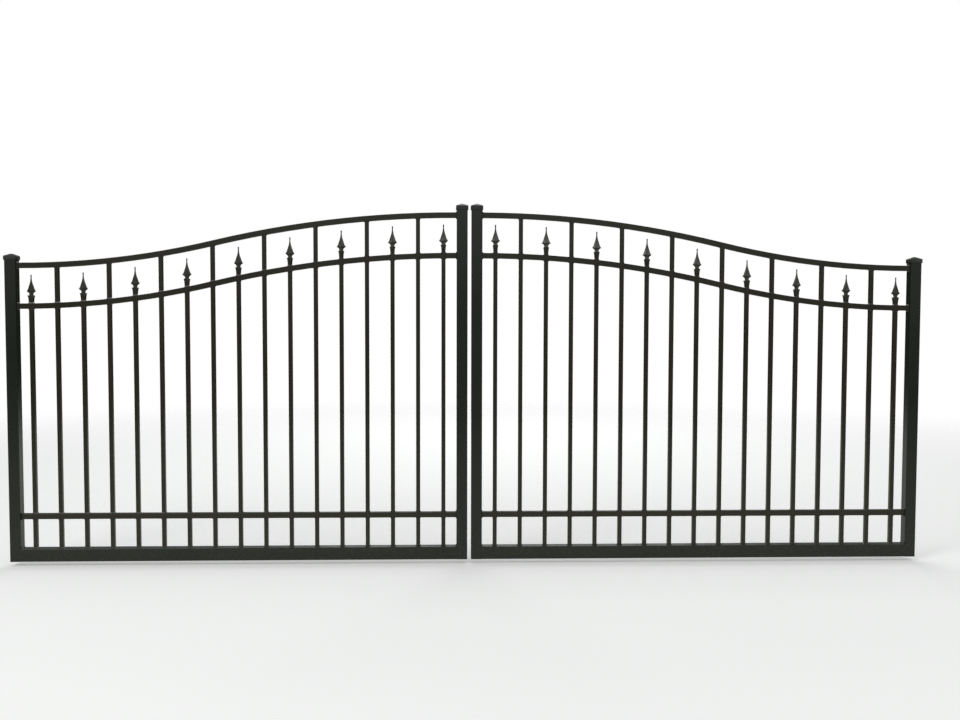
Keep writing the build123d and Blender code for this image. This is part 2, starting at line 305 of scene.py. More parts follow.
# %% Node group helper
def new_group(name, inputs, outputs):
    """A shader node group with float inputs (with defaults) and outputs; returns it and its ends."""
    group = bpy.data.node_groups.new(name, "ShaderNodeTree")
    for socket, default in inputs.items():
        made = group.interface.new_socket(name=socket, in_out="INPUT", socket_type="NodeSocketFloat")
        made.default_value = default
    for socket in outputs:
        group.interface.new_socket(name=socket, in_out="OUTPUT", socket_type="NodeSocketFloat")
    start = group.nodes.new("NodeGroupInput")
    end = group.nodes.new("NodeGroupOutput")
    return group, start, end


def maths(tree, operation, a, b):
    """A maths node; a and b are sockets or numbers."""
    node = tree.nodes.new("ShaderNodeMath")
    node.operation = operation
    for socket, value in zip(node.inputs, (a, b)):
        if isinstance(value, (int, float)):
            socket.default_value = value
        else:
            tree.links.new(value, socket)
    return node.outputs[0]


def noise(tree, vector, scale, detail):
    """Noise on object coordinates; scale is a socket or a number."""
    node = tree.nodes.new("ShaderNodeTexNoise")
    node.inputs["Detail"].default_value = detail
    tree.links.new(vector, node.inputs["Vector"])
    if isinstance(scale, (int, float)):
        node.inputs["Scale"].default_value = scale
    else:
        tree.links.new(scale, node.inputs["Scale"])
    return node.outputs["Fac"]


def smooth_range(tree, value, low, high):
    """0 below low, 1 above high, smooth between."""
    node = tree.nodes.new("ShaderNodeMapRange")
    node.interpolation_type = "SMOOTHSTEP"
    for socket, limit in (("From Min", low), ("From Max", high)):
        if isinstance(limit, (int, float)):
            node.inputs[socket].default_value = limit
        else:
            tree.links.new(limit, node.inputs[socket])
    tree.links.new(value, node.inputs["Value"])
    return node.outputs[0]


# %% Orange peel
peel, start, end = new_group("orange_peel", {"Size": 450.0, "Ripple": 60.0}, ["Height"])
where = peel.nodes.new("ShaderNodeTexCoord").outputs["Object"]
fine = noise(peel, where, start.outputs["Size"], detail=2.0)
broad = noise(peel, where, start.outputs["Ripple"], detail=1.0)
peel.links.new(maths(peel, "ADD", fine, broad), end.inputs["Height"])
print(peel.name, "nodes:", len(peel.nodes))

# %% Settled dust
dust, start, end = new_group("settled_dust", {"Amount": 0.5, "Patch Size": 9.0}, ["Mask"])
where = dust.nodes.new("ShaderNodeTexCoord").outputs["Object"]
facing = dust.nodes.new("ShaderNodeNewGeometry")
up = dust.nodes.new("ShaderNodeSeparateXYZ")
dust.links.new(facing.outputs["Normal"], up.inputs[0])
on_top = smooth_range(dust, up.outputs["Z"], low=0.35, high=0.95)
patches = noise(dust, where, start.outputs["Patch Size"], detail=5.0)
patch = smooth_range(dust, patches, low=0.30, high=0.75)
settled = maths(dust, "MULTIPLY", on_top, patch)
dust.links.new(maths(dust, "MULTIPLY", settled, start.outputs["Amount"]), end.inputs["Mask"])
print(dust.name, "nodes:", len(dust.nodes))

# %% Ground splash
splash, start, end = new_group("ground_splash", {"Amount": 0.5, "Height": 0.35}, ["Mask"])
where = splash.nodes.new("ShaderNodeTexCoord").outputs["Object"]
parts = splash.nodes.new("ShaderNodeSeparateXYZ")
splash.links.new(where, parts.inputs[0])
high_up = smooth_range(splash, parts.outputs["Z"], low=0.0, high=start.outputs["Height"])
low_down = maths(splash, "SUBTRACT", 1.0, high_up)
drops = smooth_range(splash, noise(splash, where, scale=55.0, detail=6.0), low=0.42, high=0.72)
clouds = noise(splash, where, scale=6.0, detail=3.0)
marks = maths(splash, "MULTIPLY", maths(splash, "ADD", drops, clouds), low_down)
splash.links.new(maths(splash, "MULTIPLY", marks, start.outputs["Amount"]), end.inputs["Mask"])
print(splash.name, "nodes:", len(splash.nodes))

# %% Edge wear
WORN_EDGE = 1.6 * MM          # how far from an edge the coat is thinner

wear, start, end = new_group("edge_wear", {"Amount": 0.5}, ["Mask"])
where = wear.nodes.new("ShaderNodeTexCoord").outputs["Object"]
sharp = wear.nodes.new("ShaderNodeNewGeometry")
soft = wear.nodes.new("ShaderNodeBevel")
soft.samples = 4
soft.inputs["Radius"].default_value = WORN_EDGE
agree = wear.nodes.new("ShaderNodeVectorMath")
agree.operation = "DOT_PRODUCT"
wear.links.new(sharp.outputs["Normal"], agree.inputs[0])
wear.links.new(soft.outputs["Normal"], agree.inputs[1])
apart = maths(wear, "SUBTRACT", 1.0, agree.outputs["Value"])
edge = smooth_range(wear, apart, low=0.01, high=0.20)
broken = smooth_range(wear, noise(wear, where, scale=38.0, detail=6.0), low=0.40, high=0.70)
rubbed = maths(wear, "MULTIPLY", edge, broken)
wear.links.new(maths(wear, "MULTIPLY", rubbed, start.outputs["Amount"]), end.inputs["Mask"])
print(wear.name, "nodes:", len(wear.nodes))


# %% Painted metal
def place_group(tree, group, values):
    """A group node with its own settings; returns its one output."""
    node = tree.nodes.new("ShaderNodeGroup")
    node.node_tree = group
    for socket, value in values.items():
        node.inputs[socket].default_value = value
    return node.outputs[0]


def tint(tree, mask, base, colour):
    """Mix a colour over a base colour or socket by a mask."""
    mix = tree.nodes.new("ShaderNodeMix")
    mix.data_type = "RGBA"
    tree.links.new(mask, mix.inputs["Factor"])
    if isinstance(base, tuple):
        mix.inputs["A"].default_value = (*base, 1)
    else:
        tree.links.new(base, mix.inputs["A"])
    mix.inputs["B"].default_value = (*colour, 1)
    return mix.outputs["Result"]


DUST_COLOUR = (0.085, 0.080, 0.068)
SPLASH_COLOUR = (0.075, 0.072, 0.062)
EDGE_COLOUR = (0.032, 0.034, 0.030)
FADED = 1.6               # how much lighter the coat is in its most faded clouds
CLOUD_SHARE = 0.35        # and how much of that shows
CLOUD_ROUGHNESS = 0.06    # what clouds, dust and splashes each add to the roughness
DUST_ROUGHNESS = 0.30
SPLASH_ROUGHNESS = 0.20
PEEL_STRENGTH = 0.5


def painted(name, base, roughness, peel_size, peel_depth, worn, dusty, splashed):
    """Satin paint on steel with orange peel, dust, splashes and softly rubbed edges."""
    material = bpy.data.materials.new(name)
    material.use_nodes = True
    tree = material.node_tree
    shader = tree.nodes["Principled BSDF"]
    where = tree.nodes.new("ShaderNodeTexCoord").outputs["Object"]
    cloudy = smooth_range(tree, noise(tree, where, scale=2.3, detail=4.0), low=0.30, high=0.75)
    worn_mask = place_group(tree, wear, {"Amount": worn})
    dust_mask = place_group(tree, dust, {"Amount": dusty})
    splash_mask = place_group(tree, splash, {"Amount": splashed})
    faded = tuple(FADED * value for value in base)
    colour = tint(tree, maths(tree, "MULTIPLY", cloudy, CLOUD_SHARE), base, faded)
    colour = tint(tree, worn_mask, colour, EDGE_COLOUR)
    colour = tint(tree, splash_mask, colour, SPLASH_COLOUR)
    colour = tint(tree, dust_mask, colour, DUST_COLOUR)
    tree.links.new(colour, shader.inputs["Base Color"])
    rough = maths(tree, "ADD", maths(tree, "MULTIPLY", cloudy, CLOUD_ROUGHNESS), roughness)
    rough = maths(tree, "ADD", rough, maths(tree, "MULTIPLY", dust_mask, DUST_ROUGHNESS))
    rough = maths(tree, "ADD", rough, maths(tree, "MULTIPLY", splash_mask, SPLASH_ROUGHNESS))
    tree.links.new(rough, shader.inputs["Roughness"])
    bump = tree.nodes.new("ShaderNodeBump")
    bump.inputs["Strength"].default_value = PEEL_STRENGTH
    bump.inputs["Distance"].default_value = peel_depth
    tree.links.new(place_group(tree, peel, {"Size": peel_size}), bump.inputs["Height"])
    tree.links.new(bump.outputs[0], shader.inputs["Normal"])
    return material


COAT = (0.0068, 0.0098, 0.0058)        # a black with some green in it
# On the spears this browner black is a painted reflection of the brown surroundings they mirror.  On the
# slim bars it only makes them browner than the stiles.
BROWN_COAT_AND_REFLECTION = (0.0138, 0.0115, 0.0050)   # the slim bars and the spears are a little browner
# after the colour: roughness, peel size, peel depth, how worn, how dusty, how splashed
powder_coat = painted("powder_coat", COAT, 0.22, 450.0, 0.07 * MM, 0.3, 0.30, 0.14)
warm_coat = painted("warm_coat", BROWN_COAT_AND_REFLECTION, 0.22, 450.0, 0.07 * MM, 0.3, 0.30, 0.14)
# the spears' brown base colour is a painted reflection of the surroundings
spear_paint = painted("spear_paint", BROWN_COAT_AND_REFLECTION, 0.30, 260.0, 0.15 * MM, 0.4, 0.35, 0.0)
cap_paint = painted("cap_paint", COAT, 0.30, 260.0, 0.15 * MM, 0.4, 0.35, 0.0)
weld_paint = painted("weld_paint", COAT, 0.28, 700.0, 0.20 * MM, 0.3, 0.3, 0.14)
hinge_paint = painted("hinge_paint", COAT, 0.32, 450.0, 0.10 * MM, 0.7, 0.4, 0.14)
print("paints:", [paint.name for paint in (powder_coat, warm_coat, spear_paint, cap_paint)])
print("on welds and hinges:", weld_paint.name, "and", hinge_paint.name)


# %% [markdown]
# ## Bare metal
#
# The hinge pins are zinc plated, the washers are brass and the clips are spring steel.  All three
# are turned or stamped, handled and then left to the weather, so each has fine rings of tool marks
# under a patchy dull film.  The rings could be cut into the mesh, but they are far finer than any
# face, so noise squashed along the pin stands for them in a bump.

# %% Bare metals
TOOL_MARKS = 0.04 * MM
MARKS_ACROSS = 60         # how many times finer the marks are along the pin than round it
MARKS_STRENGTH = 0.2
FILM_ROUGHNESS = 0.25     # what the film adds to the roughness


def bare_metal(name, base, tarnish, roughness):
    """Turned metal with fine rings of tool marks and a patchy dull film."""
    material = bpy.data.materials.new(name)
    material.use_nodes = True
    tree = material.node_tree
    shader = tree.nodes["Principled BSDF"]
    shader.inputs["Metallic"].default_value = 1.0
    where = tree.nodes.new("ShaderNodeTexCoord").outputs["Object"]
    film = smooth_range(tree, noise(tree, where, scale=120.0, detail=5.0), low=0.40, high=0.70)
    tree.links.new(tint(tree, film, base, tarnish), shader.inputs["Base Color"])
    rough = maths(tree, "ADD", maths(tree, "MULTIPLY", film, FILM_ROUGHNESS), roughness)
    tree.links.new(rough, shader.inputs["Roughness"])
    squash = tree.nodes.new("ShaderNodeMapping")
    squash.inputs["Scale"].default_value = (1, 1, MARKS_ACROSS)
    tree.links.new(where, squash.inputs["Vector"])
    rings = noise(tree, squash.outputs[0], scale=90.0, detail=2.0)
    bump = tree.nodes.new("ShaderNodeBump")
    bump.inputs["Strength"].default_value = MARKS_STRENGTH
    bump.inputs["Distance"].default_value = TOOL_MARKS
    tree.links.new(rings, bump.inputs["Height"])
    tree.links.new(bump.outputs[0], shader.inputs["Normal"])
    return material


zinc = bare_metal("zinc_plate", (0.50, 0.51, 0.52), (0.30, 0.30, 0.29), 0.32)
brass = bare_metal("dull_brass", (0.60, 0.42, 0.17), (0.22, 0.15, 0.07), 0.30)
spring_steel = bare_metal("spring_steel", (0.16, 0.16, 0.17), (0.07, 0.06, 0.06), 0.30)
print("bare metals:", zinc.name, brass.name, spring_steel.name)

# %% [markdown]
# ## Finishing the tubes
#
# The record names a slot for every node, and the finish is looked up by that name, so a tube and
# the casting on it match without being picked one by one.  The slim bars are given a slightly
# warmer black than the stiles and the bottom rail.

# %% Put the finishes on the CAD nodes
FINISH = {
    "powder_coat": powder_coat,
    "cast_spear": spear_paint,
    "cast_cap": cap_paint,
    "hinge_steel": hinge_paint,
    "zinc_pin": zinc,
    "brass_washer": brass,
    "spring_clip": spring_steel,
}
SLIM_BARS = (*PICKETS, *RAILS)
for entry in frame["record"]["subparts"]:
    finish = FINISH[entry["material_slot"]]
    if entry["node"].split("_", 1)[1] in SLIM_BARS:
        finish = warm_coat
    node = nodes[entry["node"]]
    if not node.material_slots:
        node.data.materials.append(finish)
    for material_slot in node.material_slots:
        material_slot.material = finish
print("finishes:", len(FINISH), "and the warmer coat on", len(SIDES) * len(SLIM_BARS), "slim bars")

# %% [markdown]
# ## Making the small parts by hand
#
# The spears, caps, welds and hinge parts are modelled from primitives in edit mode.  Operators act
# on whatever is selected, so each step starts with nothing selected and then picks its points,
# edges or faces by where they lie.  Many of these parts are stacks of sections: a flat ring is
# drawn once, and its face is extruded and resized upwards, section by section, much as a turner or
# a pattern maker would give the part its outline.


# %% Selecting by place
def let_go():
    """Leave edit mode, with nothing selected."""
    if bpy.context.object and bpy.context.object.mode == "EDIT":
        bpy.ops.object.mode_set(mode="OBJECT")
    bpy.ops.object.select_all(action="DESELECT")


def open_mesh(piece):
    """Open one piece in edit mode."""
    let_go()
    piece.select_set(True)
    bpy.context.view_layer.objects.active = piece
    bpy.ops.object.mode_set(mode="EDIT")


STRAIGHT = 0.9            # an edge or face this near to an axis counts as along it


def pick(kind, test):
    """Select the edges or faces of the open mesh whose middle and direction pass a test."""
    bpy.ops.mesh.select_mode(type=kind)
    bpy.ops.mesh.select_all(action="DESELECT")
    shape = bmesh.from_edit_mesh(bpy.context.object.data)
    for item in {"EDGE": shape.edges, "FACE": shape.faces}[kind]:
        if kind == "EDGE":
            start, end = (point.co for point in item.verts)
            fits = test((start + end) / 2, (end - start).normalized())
        else:
            fits = test(item.calc_center_median(), item.normal)
        item.select_set(bool(fits))
    bmesh.update_edit_mesh(bpy.context.object.data)


# %% Boxes, stacks of sections, and cuts
def block(name, widths, centre):
    """A cube brought to its size and place, in mm."""
    let_go()
    bpy.ops.mesh.primitive_cube_add(size=1, location=Vector(centre) * MM, scale=Vector(widths) * MM)
    piece = bpy.context.object
    piece.name = name
    bpy.ops.object.transform_apply(location=True, rotation=False, scale=True)
    return piece


NO_CHANGE = 0.001         # a factor this near to 1 changes nothing
ON_AXIS = 0.01 * MM


def bend_corners(centre, factor):
    """Move the four corner points of the selected eight-sided ring in or out."""
    if abs(factor - 1) < NO_CHANGE:
        return
    bpy.ops.mesh.select_mode(type="VERT")
    shape = bmesh.from_edit_mesh(bpy.context.object.data)
    for point in shape.verts:
        if min(abs(point.co.x), abs(point.co.y)) < ON_AXIS:
            point.select = False
    shape.select_flush_mode()
    bmesh.update_edit_mesh(bpy.context.object.data)
    bpy.ops.transform.resize(value=(factor, factor, 1), center_override=centre)


ROUND, SQUARE, DIAMOND = sqrt(0.5), 1.0, 0.5
LEVEL, CENTRED = 1e-7, 1e-6    # how near, in metres, a ring's face is to where it should be


def stack(name, sides, sections):
    """Extrude a ring upwards through sections of (height, half width, half depth, corner), in mm.

    With eight sides, the corner value gives a section its outline: ROUND, SQUARE or DIAMOND.
    """
    height, half_x, half_y, corner = sections[0]
    let_go()
    bpy.ops.mesh.primitive_circle_add(vertices=sides, radius=1, fill_type="NGON", location=(0, 0, 0))
    piece = bpy.context.object
    piece.name = name
    open_mesh(piece)
    bpy.ops.mesh.select_all(action="SELECT")
    centre = Vector((0, 0, height * MM))
    bpy.ops.transform.translate(value=centre)
    bpy.ops.transform.resize(value=(half_x * MM, half_y * MM, 1), center_override=centre)
    bend_corners(centre, corner / ROUND)
    for next_height, next_x, next_y, next_corner in sections[1:]:
        top = centre.z
        pick("FACE", lambda place, normal: place.z > top - LEVEL and place.xy.length < CENTRED)
        rise = (next_height - height) * MM
        bpy.ops.mesh.extrude_region_move(TRANSFORM_OT_translate={"value": (0, 0, rise)})
        centre = Vector((0, 0, next_height * MM))
        bpy.ops.transform.resize(value=(next_x / half_x, next_y / half_y, 1), center_override=centre)
        bend_corners(centre, next_corner / corner)
        height, half_x, half_y, corner = next_height, next_x, next_y, next_corner
    bpy.ops.mesh.select_all(action="SELECT")
    bpy.ops.mesh.normals_make_consistent(inside=False)
    let_go()
    return piece


def turned(name, sides, profile):
    """A round part, turned to a profile of (height, radius) in mm."""
    return stack(name, sides, [(height, radius, radius, ROUND) for height, radius in profile])


def combine(piece, other, operation):
    """Join a second piece to the first, or cut it out of the first, and drop the second."""
    let_go()
    bpy.context.view_layer.objects.active = piece
    step = piece.modifiers.new("combine", "BOOLEAN")
    step.operation = operation
    step.object = other
    bpy.ops.object.modifier_apply(modifier=step.name)
    bpy.data.objects.remove(other)


def soften(piece, width, segments=2, sharper_than=30):
    """Round off every edge that is sharper than an angle, then shade the faces smoothly."""
    let_go()
    piece.select_set(True)
    bpy.context.view_layer.objects.active = piece
    step = piece.modifiers.new("soften", "BEVEL")
    step.width = width * MM
    step.segments = segments
    step.limit_method = "ANGLE"
    step.angle_limit = radians(sharper_than)
    bpy.ops.object.modifier_apply(modifier=step.name)
    bpy.ops.object.shade_smooth_by_angle(angle=radians(sharper_than))


# %% Copies, and handing a piece to the frame
def copy_to(model, places):
    """One piece made of copies of a model, each with its own mesh, at a list of matrices."""
    let_go()
    copies = []
    for place in places:
        piece = model.copy()
        piece.data = model.data.copy()
        piece.data.transform(place)
        bpy.context.collection.objects.link(piece)
        piece.select_set(True)
        copies.append(piece)
    bpy.context.view_layer.objects.active = copies[0]
    if len(copies) > 1:
        bpy.ops.object.join()
    return copies[0]


def merge_pieces(pieces):
    """Join several pieces into the first of them."""
    let_go()
    for piece in pieces:
        piece.select_set(True)
    bpy.context.view_layer.objects.active = pieces[0]
    bpy.ops.object.join()
    return pieces[0]


def hand_over(piece, name, body, finish, slot, *replaced):
    """Name a finished piece, give it its material, and tie it to its body in the frame."""
    piece.name = piece.data.name = name
    piece.data.materials.clear()
    piece.data.materials.append(finish)
    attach(piece, body)
    for node in replaced:
        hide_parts(node)
    shape = bmesh.new()
    shape.from_mesh(piece.data)
    open_edges = sum(len(edge.link_faces) != 2 for edge in shape.edges)
    print(name, "faces:", len(shape.faces), "open edges:", open_edges)
    shape.free()


# %% [markdown]
# ## Cast spears
#
# A spear is one iron casting: a square socket that flares up from the picket, a collar, a short
# round neck, then a barbed blade with a ridge down its middle, drawn out to a needle with a small
# bead at its tip.  A profile could be spun, but that gives a round blade.  An eight-sided ring can
# be a square, a circle or a diamond, so one stack of rings makes the whole casting, and a small
# bevel at the end gives the edges the softness of sand-cast iron.

# %% Spear
RING_SIDES = 8
SPEAR_SECTIONS = (        # height above the picket's end, half width, half depth, outline
    (0.0, 9.5, 9.5, SQUARE),
    (3.0, 9.6, 9.6, SQUARE),
    (12.0, 10.2, 10.2, SQUARE),
    (20.0, 11.0, 11.0, SQUARE),
    (26.0, 12.0, 12.0, SQUARE),
    (26.6, 13.0, 13.0, SQUARE),
    (29.6, 13.0, 13.0, SQUARE),
    (30.6, 11.6, 11.6, SQUARE),
    (31.6, 10.4, 10.4, ROUND),
    (34.5, 9.8, 9.6, ROUND),
    (38.5, 9.8, 9.2, ROUND),
    (42.5, 12.2, 9.0, 0.62),
    (46.2, 16.6, 9.1, 0.55),
    (49.2, 21.4, 9.1, DIAMOND),
    (50.6, 21.8, 9.0, DIAMOND),
    (54.0, 18.8, 8.5, DIAMOND),
    (60.0, 15.5, 7.8, DIAMOND),
    (72.0, 11.7, 6.7, DIAMOND),
    (85.0, 7.2, 5.4, DIAMOND),
    (94.0, 4.8, 4.4, 0.55),
    (105.0, 3.2, 3.2, 0.62),
    (113.0, 2.6, 2.6, ROUND),
    (118.0, 2.8, 2.8, ROUND),
    (121.0, 3.4, 3.4, ROUND),
    (124.0, 2.9, 2.9, ROUND),
    (126.0, 1.5, 1.5, ROUND),
)
spear_model = stack("spear_model", RING_SIDES, SPEAR_SECTIONS)
soften(spear_model, 0.5, segments=2, sharper_than=25)

for side in SIDES:
    seats = []
    for picket in SHORT_PICKETS:
        place = middle(f"{side}_{picket}")
        place.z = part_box(f"{side}_{picket}")[1].z
        seats.append(Matrix.Translation(place))
    spears = copy_to(spear_model, seats)
    hand_over(spears, f"{side}_spear_castings", f"{side}_leaf", spear_paint, "cast_spear", f"{side}_spears")
bpy.data.objects.remove(spear_model)

# %% [markdown]
# ## Stile caps
#
# Each stile is closed by a pressed-on cast cap: a skirt a little wider than the tube, rounded down
# its corners, and a shallow pyramid with a small flat on top.  A stack of rings would do, but its
# corners would stay sharp.  So it starts as a cube: the corners are bevelled, the top face is drawn
# up and in, and the underside is inset and pushed up to hollow it.

# %% Cap
CAP_WALL = 3.0
CAP_DEPTH = 15.0          # how far the skirt reaches down over the stile
CAP_SHOULDER = 1.2        # height and width of the chamfer above the skirt
CAP_CROWN = 11.0          # height of the pyramid above the skirt
CAP_FLAT = 8.0            # width of the flat on top
cap_low, cap_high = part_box("left_stile_caps")
cap_width = (cap_high.y - cap_low.y) / MM
skirt = CAP_DEPTH + CAP_WALL

cap_model = block("cap_model", (cap_width, cap_width, skirt), (0, 0, skirt / 2 - CAP_DEPTH))
open_mesh(cap_model)
pick("EDGE", lambda place, along: abs(along.z) > STRAIGHT)
bpy.ops.mesh.bevel(offset=CAP_WALL * MM, segments=4, affect="EDGES")
pick("FACE", lambda place, normal: normal.z > STRAIGHT)
shoulder_centre = (0, 0, CAP_WALL * MM)
bpy.ops.mesh.extrude_region_move(TRANSFORM_OT_translate={"value": (0, 0, CAP_SHOULDER * MM)})
shoulder_share = (cap_width - 2 * CAP_SHOULDER) / cap_width
bpy.ops.transform.resize(value=(shoulder_share, shoulder_share, 1), center_override=shoulder_centre)
crown_rise = (CAP_CROWN - CAP_SHOULDER) * MM
bpy.ops.mesh.extrude_region_move(TRANSFORM_OT_translate={"value": (0, 0, crown_rise)})
crown_share = CAP_FLAT / (cap_width - 2 * CAP_SHOULDER)
bpy.ops.transform.resize(value=(crown_share, crown_share, 1), center_override=shoulder_centre)
pick("FACE", lambda place, normal: normal.z < -STRAIGHT)
bpy.ops.mesh.inset(thickness=CAP_WALL * MM)
bpy.ops.mesh.extrude_region_move(TRANSFORM_OT_translate={"value": (0, 0, CAP_DEPTH * MM)})
let_go()
soften(cap_model, 0.6, segments=2, sharper_than=20)

for side in SIDES:
    tops = []
    for stile in ("hinge_stile", "meeting_stile"):
        place = middle(f"{side}_{stile}")
        place.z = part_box(f"{side}_{stile}")[1].z
        tops.append(Matrix.Translation(place))
    caps = copy_to(cap_model, tops)
    hand_over(caps, f"{side}_cap_castings", f"{side}_leaf", cap_paint, "cast_cap", f"{side}_stile_caps")
bpy.data.objects.remove(cap_model)

# %% [markdown]
# ## Weld collars round the pickets
#
# Every picket is welded where it passes a rail, where it stands on the bottom rail, and where it
# meets the top rail.  Seen from a step away, such a weld is a small rounded collar in the corner.
# A bevel in the corner itself would need picket and rail to be one mesh, and they are separate
# tubes.  So one collar is a low stack with a square hole cut through it, kept to a few dozen faces
# because it is copied to every crossing, where it leans with the rail.

# %% Weld collar
COLLAR_SECTIONS = (       # height above the rail, half width along it, half width across it, outline
    (-0.6, 14.2, 12.2, 0.84),
    (0.9, 13.8, 12.0, 0.84),
    (2.6, 12.0, 11.2, 0.88),
    (4.2, 10.0, 10.0, 0.94),
)
COLLAR_GAP = 0.1          # of the hole over the picket's width
CUTTER_HEIGHT = 40.0
opening = picket_width / MM + COLLAR_GAP
collar_model = stack("collar_model", RING_SIDES, COLLAR_SECTIONS)
combine(collar_model, block("hole", (opening, opening, CUTTER_HEIGHT), (0, 0, 0)), "DIFFERENCE")
bpy.context.view_layer.objects.active = collar_model
collar_model.select_set(True)
bpy.ops.object.shade_smooth_by_angle(angle=radians(50))
print("collar faces:", len(collar_model.data.polygons))


def collar_place(rail, x, from_above):
    """Where a collar lies on a rail's face, turned so that it stands off that face."""
    point, normal = rail_face(rail, x, from_above)
    return Matrix.Translation(point) @ Matrix.Rotation(atan2(normal.x, normal.z), 4, "Y")


for side in SIDES:
    places = []
    for picket in PICKETS:
        x = middle(f"{side}_{picket}").x
        places.append(collar_place(f"{side}_bottom_rail", x, True))
        for rail in ("lower_rail", "upper_rail"):
            places.append(collar_place(f"{side}_{rail}", x, True))
            places.append(collar_place(f"{side}_{rail}", x, False))
        if picket in TALL_PICKETS:
            places.append(collar_place(f"{side}_top_rail", x, False))
    print(side, "collars:", len(places))
    collars = copy_to(collar_model, places)
    hand_over(collars, f"{side}_picket_welds", f"{side}_leaf", weld_paint, "powder_coat")
bpy.data.objects.remove(collar_model)

# %% [markdown]
# ## Weld beads
#
# The larger joints are run with longer beads, and there the ripples that the welder leaves, one
# for every small step of the torch, are worth modelling.  A bump in the paint would show them, but
# not in the outline, so a bead is a stack whose rings swell and shrink in turn.  It lies half
# buried in its corner, so only the visible half makes the fillet.

# %% Weld bead
RIPPLE_PITCH = 3.0
RIPPLE = ((0.15, 0.9), (0.45, 1.0), (0.85, 0.97))    # share of the pitch, share of the radius
BEAD_END = ((0.0, 0.35), (0.5, 0.8))                 # distance from the end, share of the radius
BEAD_START = 1.0                                     # from the end to the first ripple


def bead(length, radius):
    """A rippled bead along Z, centred on the origin, in mm."""
    half = length / 2
    profile = [(-half + inwards, share * radius) for inwards, share in BEAD_END]
    ripples = max(2, round((length - 2 * BEAD_START) / RIPPLE_PITCH))
    pitch = (length - 2 * BEAD_START) / ripples
    for ripple in range(ripples):
        foot = -half + BEAD_START + ripple * pitch
        profile += [(foot + share * pitch, swell * radius) for share, swell in RIPPLE]
    profile += [(half - inwards, share * radius) for inwards, share in reversed(BEAD_END)]
    piece = turned("bead", RING_SIDES, profile)
    piece.select_set(True)
    bpy.context.view_layer.objects.active = piece
    bpy.ops.object.shade_smooth_by_angle(angle=radians(60))
    return piece


ALONG_X = Matrix.Rotation(pi / 2, 4, "Y")
ALONG_Y = Matrix.Rotation(pi / 2, 4, "X")
ALONG_Z = Matrix.Identity(4)


def lay(x, y, z, way):
    """Where a bead lies: its middle, and the way it runs."""
    return Matrix.Translation((x, y, z)) @ way


# %% Beads at the rail ends
RAIL_BEAD = 3.6           # radius of a bead round a rail's end
RAIL_BEAD_BEYOND = 5.0    # it is this much longer than the rail is wide
RAIL_BEAD_OUT = 0.6 * MM  # its middle stands this far out of the corner, both ways
SEAM_BEAD = 3.0           # radius of a bead down the bottom rail's end, front and back
SEAM_SHORT = 3.0          # it is this much shorter than the rail is high
SEAM_SUNK = 1.9           # both of these keep it in the groove between the two tubes
SEAM_PROUD = 1.1
CROSS_BEAD = 4.0          # radius of a bead across the bottom rail's top
CROSS_SHORT = 7.0
CROSS_BEAD_OUT = 0.4 * MM
PROBE = 2 * MM            # a rail's height is felt this far in from its end
bottom_height = size("left_bottom_rail").z / MM

rail_bead = bead(rail_depth / MM + RAIL_BEAD_BEYOND, RAIL_BEAD)
seam_bead = bead(bottom_height - SEAM_SHORT, SEAM_BEAD)
cross_bead = bead(stile_width / MM - CROSS_SHORT, CROSS_BEAD)

for side in SIDES:
    sides_of_rails, seams, crosses = [], [], []
    for rail in RAILS:
        low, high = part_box(f"{side}_{rail}")
        for x, inwards in ((low.x, 1), (high.x, -1)):
            from_top, _ = rail_face(f"{side}_{rail}", x + inwards * PROBE, True)
            centre_z = from_top.z - rail_depth / 2
            near = x + inwards * RAIL_BEAD_OUT
            for way in (-1, 1):
                out = way * (rail_depth / 2 + RAIL_BEAD_OUT)
                sides_of_rails.append(lay(near, leaf_y + out, centre_z, ALONG_Z))
                sides_of_rails.append(lay(near, leaf_y, centre_z + out, ALONG_Y))
    low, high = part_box(f"{side}_bottom_rail")
    for x, inwards in ((low.x, 1), (high.x, -1)):
        groove = x - inwards * SEAM_SUNK * MM
        for way in (-1, 1):
            depth = leaf_y + way * (stile_width / 2 - (SEAM_BEAD - SEAM_PROUD) * MM)
            seams.append(lay(groove, depth, high.z / 2, ALONG_Z))
        crosses.append(lay(x + inwards * CROSS_BEAD_OUT, leaf_y, high.z + CROSS_BEAD_OUT, ALONG_Y))
    laid = [copy_to(rail_bead, sides_of_rails), copy_to(seam_bead, seams), copy_to(cross_bead, crosses)]
    hand_over(merge_pieces(laid), f"{side}_rail_welds", f"{side}_leaf", weld_paint, "powder_coat")
for model in (rail_bead, seam_bead, cross_bead):
    bpy.data.objects.remove(model)

# %% [markdown]
# ## Hinges
#
# Each leaf turns on two barrel hinges behind its outer stile.  A bolt-on plate carries the upper
# and the lower knuckle, a third knuckle is welded to the stile between them, and a headed pin
# drops through all three, with a brass washer at each step and a spring clip below.  A knuckle
# could be bent from flat bar round its pin.  Here it is a turned eye with a flat foot, because that
# keeps it a closed solid: a stack joined to a block, bored, and softened.

# %% Hinge sizes taken from the frame
mounts = frame["record"]["mounts"]
HINGE_HEIGHTS = [mount["pos_m"][2] / MM for mount in mounts if "left" in mount["name"]]
BARREL_SIDES = 48
BARREL_RADIUS = 9.0
BARREL_CHAMFER = 0.5
PIN_SIDES = 40
PIN_RADIUS = 5.0
BORE_RADIUS = 5.05
FOOT_SHORT = 0.6          # how much shorter the foot is than its knuckle
FOOT_WIDTH = 12.0
FOOT_REACH = 10.0         # from the pin to the face that the foot is welded to
FIXED_KNUCKLE = 30.0
LEAF_KNUCKLE = 35.8
WASHER_THICKNESS = 2.0
WASHER_GAP = 0.1
BARREL_HALF = FIXED_KNUCKLE + LEAF_KNUCKLE / 2 + WASHER_THICKNESS + WASHER_GAP
PLATE_THICKNESS = 5.0
PLATE_HEIGHT = 100.0
PLATE_CORNER = 5.0
BOLT_RADIUS = 4.5
BOLT_SPACING_Y = 20.0
BOLT_SPACING_Z = 70.0
DRILL_REACH = 20.0
HINGE_ROUNDING = 0.4
